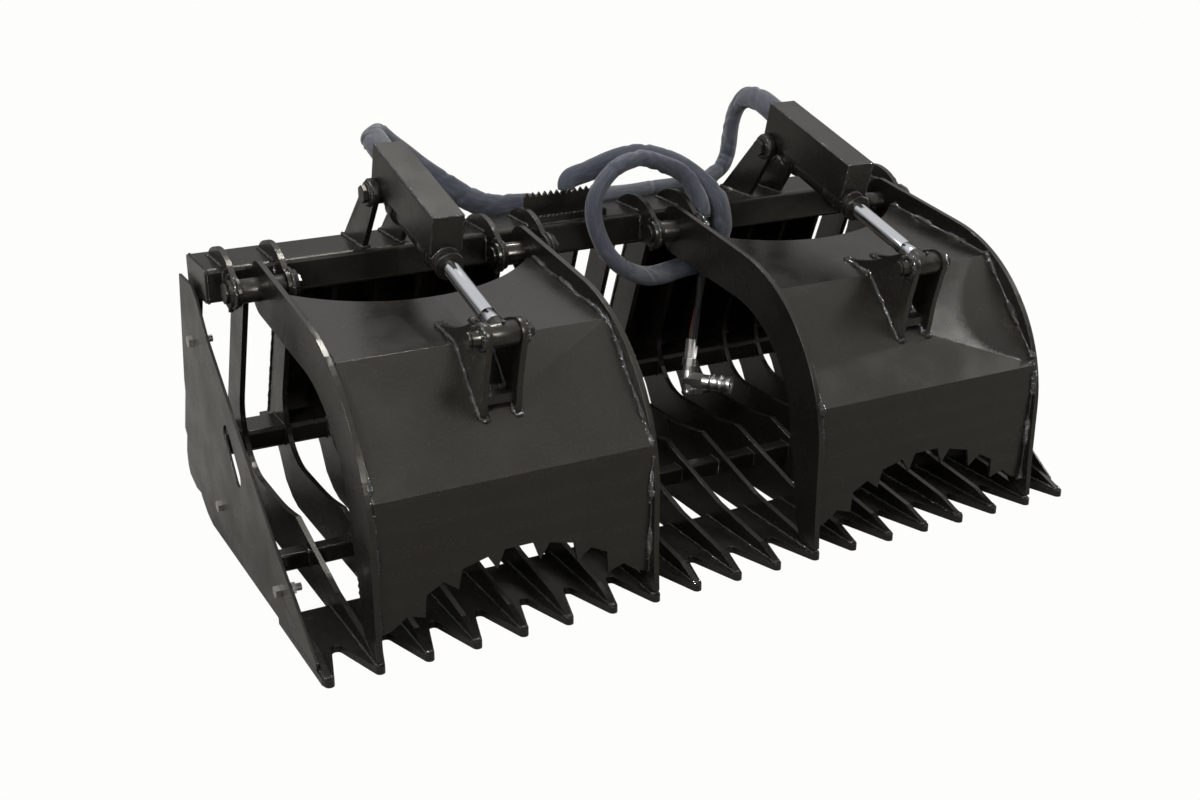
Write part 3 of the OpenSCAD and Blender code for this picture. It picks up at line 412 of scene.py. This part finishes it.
# ---------------------------------------------------------------- black paint on all the steel
# Every plate, tube and casting is sprayed gloss black. The coat has a fine orange peel and a
# scatter of tiny pale specks, which are painted glints; cut edges are a little rounded under it.
def peel_and_glint_group():
    """Sprayed paint: a soft orange peel and fine grain, summed as a height, a mask of specks that
    are painted glints, and a broad cloud for uneven gloss."""
    group, start, end = new_group("orange_peel_and_glints", (
        ("Peel size", "INPUT", "Float"), ("Grain size", "INPUT", "Float"), ("Height", "OUTPUT", "Float"),
        ("Painted glints", "OUTPUT", "Float"), ("Cloud", "OUTPUT", "Float")))
    where = new_node(group, "TexCoord")
    peel, grain = new_node(group, "TexNoise", {"Detail": 1}), new_node(group, "TexNoise", {"Detail": 2})
    glint_dots = new_node(group, "TexVoronoi", {"Scale": 420})
    cloud = new_node(group, "TexNoise", {"Scale": 9, "Detail": 5})
    for texture in (peel, grain, glint_dots, cloud):
        link(group, (where.outputs["Object"], texture.inputs["Vector"]))
    mixed = new_math(group, "MULTIPLY_ADD", {1: 0.35})
    link(group, (start.outputs["Peel size"], peel.inputs["Scale"]),
         (start.outputs["Grain size"], grain.inputs["Scale"]), (grain.outputs[0], mixed.inputs[0]),
         (peel.outputs[0], mixed.inputs[2]), (mixed.outputs[0], end.inputs["Height"]))
    # Voronoi dots near their cell centres, in a share of the cells, make the mask of painted glints.
    near, chosen = new_math(group, "LESS_THAN", {1: 0.2}), new_math(group, "GREATER_THAN", {1: 0.62})
    both_true = new_math(group, "MULTIPLY")
    link(group, (glint_dots.outputs["Distance"], near.inputs[0]), (glint_dots.outputs["Color"], chosen.inputs[0]),
         (near.outputs[0], both_true.inputs[0]), (chosen.outputs[0], both_true.inputs[1]),
         (both_true.outputs[0], end.inputs["Painted glints"]), (cloud.outputs[0], end.inputs["Cloud"]))
    return group


peel = peel_and_glint_group()


def painted(name, colour, painted_glint_colour, roughness, strength, peel_size=230, grain_size=900, depth=0.0006):
    """Gloss paint with the peel group on its normal, colour and roughness; its colour gets pale specks, which are
    painted glints.
    """
    material, shader = named_material(name, colour, roughness)
    tree = material.node_tree
    coat = new_node(tree, "Group")
    coat.node_tree = peel
    set_inputs(coat, {"Peel size": peel_size, "Grain size": grain_size})
    bump = new_node(tree, "Bump", {"Strength": strength, "Distance": depth})
    # Pale specks mixed into the base colour are painted glints.
    painted_glints = new_tint(tree, colour, painted_glint_colour)
    dull = new_node(tree, "MapRange", {"From Min": 0.35, "From Max": 0.7, "To Min": roughness * 0.8,
                                       "To Max": roughness * 1.35})
    link(tree, (coat.outputs["Height"], bump.inputs["Height"]), (bump.outputs[0], shader.inputs["Normal"]),
         (coat.outputs["Painted glints"], painted_glints.inputs["Factor"]), (painted_glints.outputs["Result"], shader.inputs["Base Color"]),
         (coat.outputs["Cloud"], dull.inputs["Value"]), (dull.outputs["Result"], shader.inputs["Roughness"]))
    return material, shader


# The second colour of each paint is the colour of its painted glints, the pale specks.
black_paint, paint = painted("black_paint", (0.0085, 0.0078, 0.0064), (0.07, 0.065, 0.05), 0.27, 0.30)
set_inputs(paint, {"Specular IOR Level": 0.42, "Specular Tint": (1.0, 0.95, 0.84, 1)})
weld_paint, weld_shader = painted("weld_paint", (0.012, 0.011, 0.009), (0.05, 0.05, 0.045), 0.12, 0.9,
                                  peel_size=190, grain_size=700, depth=0.0022)
set_inputs(weld_shader, {"Specular IOR Level": 0.7})
edge_angle, same_point = math.radians(35), 0.00002
painted_edge, plated_edge, turned_edge = 0.0012, 0.0006, 0.0005


def finish_nodes(slot_name, material, width):
    """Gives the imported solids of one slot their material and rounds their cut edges: the loose
    triangles are welded together, then bevelled."""
    for entry in frame["record"]["subparts"]:
        if entry["material_slot"] != slot_name or entry["node"] not in nodes:
            continue
        solid = nodes[entry["node"]]
        for slot in solid.material_slots:
            slot.material = material
        solid.modifiers.new("weld", "WELD").merge_threshold = same_point
        edge = solid.modifiers.new("edge", "BEVEL")
        edge.width, edge.segments = width, 2
        edge.limit_method, edge.angle_limit = "ANGLE", edge_angle
        edge.harden_normals = True
        edge.use_clamp_overlap = True


finish_nodes("black_paint", black_paint, painted_edge)

# ---------------------------------------------------------------- plated and bare steel parts
# The rods are hard chromed and polished, the bolts, adapters and couplers are zinc plated, and
# the pistons inside the cylinders are turned steel.
chrome = named_material("hard_chrome", (0.50, 0.51, 0.53), 0.10, 1.0)[0]
zinc = named_material("zinc_plate", (0.50, 0.49, 0.46), 0.30, 1.0)[0]
turned_steel = named_material("turned_steel", (0.40, 0.39, 0.37), 0.35, 1.0)[0]
finish_nodes("chrome_rod", chrome, plated_edge)
finish_nodes("zinc_plate", zinc, plated_edge)
finish_nodes("bare_steel", turned_steel, turned_edge)

# ---------------------------------------------------------------- crimped hose ends
# Plated steel shells are pressed on the two bare hoses in a row of narrow crimps, and a hexagon
# nut below each shell screws it on its elbow adapter.
shell_length, crimps_end, neck_end, nut_end = 0.078, 0.040, 0.047, 0.066
crimp_pitch, crimp_depth, crimp_share = 0.0052, 0.0009, 0.2
shell_r, neck_r, nut_flat, nut_corner, stub_r = 0.0128, 0.0112, 0.0142, 0.0156, 0.0116
for name, ends in (("pressure_hose_end", [[264, -46, -328], [243, -60, -426]]),
                   ("return_hose_end", [[282, -25, -355], [264, -26, -474]])):
    top, low = route(ends)
    shell_line = top + np.linspace(0, 1, 240)[:, None] * (low - top) * (shell_length / np.linalg.norm(low - top))

    def shell_radius(u, v):
        """Shell with a row of crimps, a neck, and a nut whose six flats follow 1/cos of the turn."""
        shell = shell_r - crimp_depth * (np.sin(u * 2 * np.pi / crimp_pitch) > crimp_share)
        flats = np.mod(v, np.pi / 3) - np.pi / 6
        nut = np.minimum(nut_flat / np.cos(flats), nut_corner)
        return np.where(u < crimps_end, shell, np.where(u < neck_end, neck_r, np.where(u < nut_end, nut, stub_r)))

    shell_piece = tube(name, shell_line, shell_radius, zinc, sides=72)
    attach(shell_piece, "frame")

# ---------------------------------------------------------------- chromed rods
# A polished bar with a chamfered shoulder at each end and a narrow groove where it screws into
# its eye. It rides with the rod and slides into the barrel.
stroke_axis = np.array([0, -math.cos(cylinder_tilt), -math.sin(cylinder_tilt)])
rod_start, rod_end = 0.233, math.hypot(cylinder_reach, cylinder_drop) - 0.0365
rod_radius, shoulder, groove = 0.01748, 0.0172, 0.0166
cuts = np.array([[rod_start, shoulder], [rod_start + 0.002, rod_radius], [rod_end - 0.036, rod_radius],
                 [rod_end - 0.0352, groove], [rod_end - 0.0338, groove], [rod_end - 0.033, rod_radius],
                 [rod_end - 0.002, rod_radius], [rod_end, shoulder]])
for side, x in cylinders:
    rod_line = np.stack([np.array([x, *base_pin]) + t * stroke_axis for t in cuts[:, 0]])
    rod_skin = tube(side + "_rod_chrome", rod_line, lambda u, v: np.broadcast_to(cuts[:, 1:], u.shape), chrome,
                    sides=64)
    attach(rod_skin, side + "_rod")
    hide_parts(side + "_rod")

# ---------------------------------------------------------------- weld beads
# Rippled fillet welds, painted over with the rest, run along the corners where two plates or a
# plate and a tube meet. Each one rides with the body it holds together.


def sharp_edges(name):
    """End points of a solid's sharp edges, and its triangles, as arrays in metres."""
    mesh = nodes[name].data
    points = np.empty(len(mesh.vertices) * 3)
    mesh.vertices.foreach_get("co", points)
    mesh.calc_loop_triangles()
    corners = np.empty(len(mesh.loop_triangles) * 3, dtype=np.int32)
    mesh.loop_triangles.foreach_get("vertices", corners)
    points, shared = np.unique(points.reshape(-1, 3).round(5), axis=0, return_inverse=True)
    faces = shared.ravel()[corners].reshape(-1, 3)
    triangles = points[faces]
    normal = np.cross(triangles[:, 1] - triangles[:, 0], triangles[:, 2] - triangles[:, 0])
    size = np.linalg.norm(normal, axis=1)
    faces, triangles, normal = faces[size > 1e-12], triangles[size > 1e-12], normal[size > 1e-12]
    normal /= np.linalg.norm(normal, axis=1)[:, None]
    edges = np.sort(np.concatenate([faces[:, [0, 1]], faces[:, [1, 2]], faces[:, [2, 0]]]), axis=1)
    owner = np.tile(np.arange(len(faces)), 3)
    order = np.lexsort((edges[:, 1], edges[:, 0]))
    edges, owner = edges[order], owner[order]
    twin = np.flatnonzero((edges[:-1] == edges[1:]).all(axis=1))
    bent = np.einsum("ij,ij->i", normal[owner[twin]], normal[owner[twin + 1]]) < 0.8
    return points[edges[twin[bent]]], triangles


def distances(points, triangles):
    """Distance from each point to the nearest of the triangles: to its plane where the point
    stands over it, and otherwise to its three sides."""
    best = np.full(len(points), 1.0)
    a, b, c = triangles[:, 0], triangles[:, 1], triangles[:, 2]
    normal = np.cross(b - a, c - a)
    normal /= np.linalg.norm(normal, axis=1)[:, None]
    for rows in np.array_split(np.arange(len(points)), len(points) // 400 + 1):
        p = points[rows][:, None]
        over = np.ones((len(rows), len(triangles)), dtype=bool)
        near = np.full((len(rows), len(triangles)), 1.0)
        for one, two in ((a, b), (b, c), (c, a)):
            side = two - one
            over &= np.einsum("ptk,tk->pt", p - one, np.cross(normal, side)) >= 0
            t = np.clip(np.einsum("ptk,tk->pt", p - one, side) / (side ** 2).sum(axis=1), 0, 1)
            near = np.minimum(near, np.linalg.norm(p - one - t[..., None] * side, axis=2))
        flat = np.abs(np.einsum("ptk,tk->pt", p - a, normal))
        best[rows] = np.where(over, np.minimum(near, flat), near).min(axis=1)
    return best


def seams(name, others, reach=0.0009, step=0.003, shortest=0.012):
    """Lines where sharp edges of one solid lie on the faces of others: each edge is sampled, and
    its parts within reach of the others are joined end to end."""
    edges, _ = sharp_edges(name)
    faces = np.concatenate([sharp_edges(other)[1] for other in others])
    low, high = faces.min(axis=(0, 1)) - reach, faces.max(axis=(0, 1)) + reach
    edges = edges[((edges.max(axis=1) > low) & (edges.min(axis=1) < high)).all(axis=1)]
    runs = []
    for start, end in edges:
        count = max(int(np.linalg.norm(end - start) / step), 1) + 1
        line = start + np.linspace(0, 1, count)[:, None] * (end - start)
        on = np.r_[False, distances(line, faces) < reach, False]
        cuts = np.flatnonzero(on[1:] != on[:-1])
        runs += [line[i:j] for i, j in zip(cuts[::2], cuts[1::2]) if j - i > 1]
    joined = []
    while runs:
        line = runs.pop()
        grown = True
        while grown:
            grown = False
            for k, other in enumerate(runs):
                for mine, its in ((line, other), (line, other[::-1]), (line[::-1], other), (line[::-1], other[::-1])):
                    if np.linalg.norm(mine[-1] - its[0]) < 0.0004:
                        line, grown = np.vstack([mine, its[1:]]), True
                        break
                if grown:
                    runs.pop(k)
                    break
        if gaps(line).sum() >= shortest:
            joined.append(line)
    return joined


ring_spacing, stitch_spacing = 0.0016, 0.130


def bead_mesh(name, body, lines, size, sides=10, seed=1.0, stitch=0.0):
    """Weld beads along lines: rings whose radius ripples every few millimetres, swells and
    thins slowly, and closes down at both ends. Stitches are thicker stretches, 60 mm long and
    130 mm apart, that add their own size to a thin bead."""
    verts, faces, caps, first = [], [], [], 0
    for number, line in enumerate(lines):
        run = run_along(line)
        even = np.linspace(0, run[-1], max(int(run[-1] / ring_spacing), 6))
        line = resampled(line, even)
        way = np.gradient(line, axis=0)
        way /= np.linalg.norm(way, axis=1)[:, None] + 1e-9
        side = np.linalg.eigh(way.T @ way)[1][:, 0]
        one = np.cross(way, side)
        one /= np.linalg.norm(one, axis=1)[:, None] + 1e-9
        two = np.cross(way, one)
        u, v = np.meshgrid(even, np.linspace(0, 2 * np.pi, sides, endpoint=False), indexing="ij")
        s = seed + 1.7 * number
        r = 1 + 0.16 * np.sin(1150 * u + 2 * np.sin(57 * u + s))
        r += 0.16 * np.sin(71 * u + s) * np.sin(163 * u + 2 * s)
        r += 0.14 * np.sin(2 * v + 240 * u + s) * np.sin(395 * u + s)
        ends = np.clip(np.minimum(u, even[-1] - u) / (1.2 * size) + 0.12, 0, 1)
        thick = 1 / (1 + np.exp(-(np.cos(2 * np.pi * u / stitch_spacing + s) - 0.1) * 14))
        r *= (size + stitch * thick) * np.sqrt(ends)
        out = np.cos(v)[..., None] * one[:, None] + np.sin(v)[..., None] * two[:, None]
        rings = line[:, None] + r[..., None] * out
        verts.append(rings.reshape(-1, 3))
        faces.append(grid_faces(len(line), sides) + first)
        last = first + (len(line) - 1) * sides
        caps += [range(first + sides - 1, first - 1, -1), range(last, last + sides)]
        first += len(line) * sides
    piece = new_piece(name, np.concatenate(verts), np.concatenate(faces), weld_paint, caps)
    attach(piece, body)
    return piece


tine_nodes = ("left_tines", "centre_tines", "right_tines", "left_end_plate", "right_end_plate")
weld_plan = [
    ("tine_welds_low", "frame", 0.0032, [(name, ("lower_tube", "mid_tube")) for name in tine_nodes]),
    ("tine_welds_nose", "frame", 0.0044, [(name, ("cutting_edge",)) for name in tine_nodes]),
    ("tine_welds_top", "frame", 0.0034, [(name, ("top_beam",)) for name in tine_nodes]),
    ("beam_cap_welds", "frame", 0.0022, [("beam_end_caps", ("top_beam",))]),
    ("hinge_lug_welds", "frame", 0.0052, [(side + "_hinge_lugs", ("top_beam",)) for side in ("left", "right")]),
    ("cylinder_lug_welds", "frame", 0.0054, [(side + "_cylinder_lugs", ("top_beam",)) for side in ("left", "right")]),
    ("step_welds", "frame", 0.0028, [("serrated_step", ("top_beam",))]),
    ("attach_welds", "frame", 0.0034, [
        (side + "_attach_plate", ("top_beam", side + "_tines", "centre_tines", "mid_tube"))
        for side in ("left", "right")]),
]
for side in ("left", "right"):
    claw, barrel = side + "_claw", side + "_barrel"
    ribs = (claw + "_outer_rib", claw + "_inner_rib")
    weld_plan += [
        (claw + "_corner_welds", claw, 0.0032, [(claw + "_skin", ribs)]),
        (claw + "_ear_welds", claw, 0.0068, [(claw + "_ears", (claw + "_skin",))]),
        (claw + "_bushing_welds", claw, 0.0034, [(claw + "_bushings", ribs)]),
        (barrel + "_guard_welds", barrel, 0.0026, [(side + "_hose_guard", (barrel,))]),
    ]


def ring_line(x, y, z, radius):
    """A circle round an axis that runs along X; y is measured from the teeth."""
    turn = np.linspace(0, 2 * np.pi, 60)
    return np.stack([np.full(60, x), y - half_depth + radius * np.cos(turn), z + radius * np.sin(turn)], 1)


pitch, middle_bay, corner_stitch = 0.1016, 9, 0.0055
hinge_y, hinge_z, hinge_face, hinge_boss = 0.625, 0.603, 0.056 + 0.00635, 0.0322
base_y, base_z, base_face, base_boss = 0.643, 0.775, 0.0375 + 0.0127, 0.0243
ear_y, ear_z, ear_face, ear_boss = 0.080, 0.615, 0.0305 + 0.0127, 0.0212
guard_half, guard_top, guard_foot, guard_end = 0.0335, 0.1005, 0.018, -0.3045
guard_seams = (((-1, -0.305, guard_top), (-1, 0.028, guard_top)),
               ((-1, guard_end, guard_top), (1, guard_end, guard_top)),
               ((-1, guard_end, guard_foot), (-1, guard_end, 0.098)),
               ((1, guard_end, guard_foot), (1, guard_end, 0.098)))
extra_lines = {
    "hinge_lug_welds": [ring_line((k - middle_bay) * pitch + s * hinge_face, hinge_y, hinge_z, hinge_boss)
                        for k in (1, 7, 11, 17) for s in (-1, 1)],
    "cylinder_lug_welds": [ring_line(x + s * base_face, base_y, base_z, base_boss)
                           for _, x in cylinders for s in (-1, 1)],
}
for side, x in cylinders:
    extra_lines[side + "_claw_ear_welds"] = [ring_line(x + s * ear_face, ear_y, ear_z, ear_boss) for s in (-1, 1)]
    extra_lines[side + "_barrel_guard_welds"] = [
        np.array([on_cylinder(x, across * guard_half, along, up) for across, along, up in ends])
        for ends in guard_seams]
for number, (weld_name, body, size, pairs) in enumerate(weld_plan):
    lines = [line for name, others in pairs for line in seams(name, others)] + extra_lines.get(weld_name, [])
    if lines:
        bead_mesh(weld_name, body, lines, size, seed=1.0 + number,
                  stitch=corner_stitch if "corner" in weld_name else 0.0)
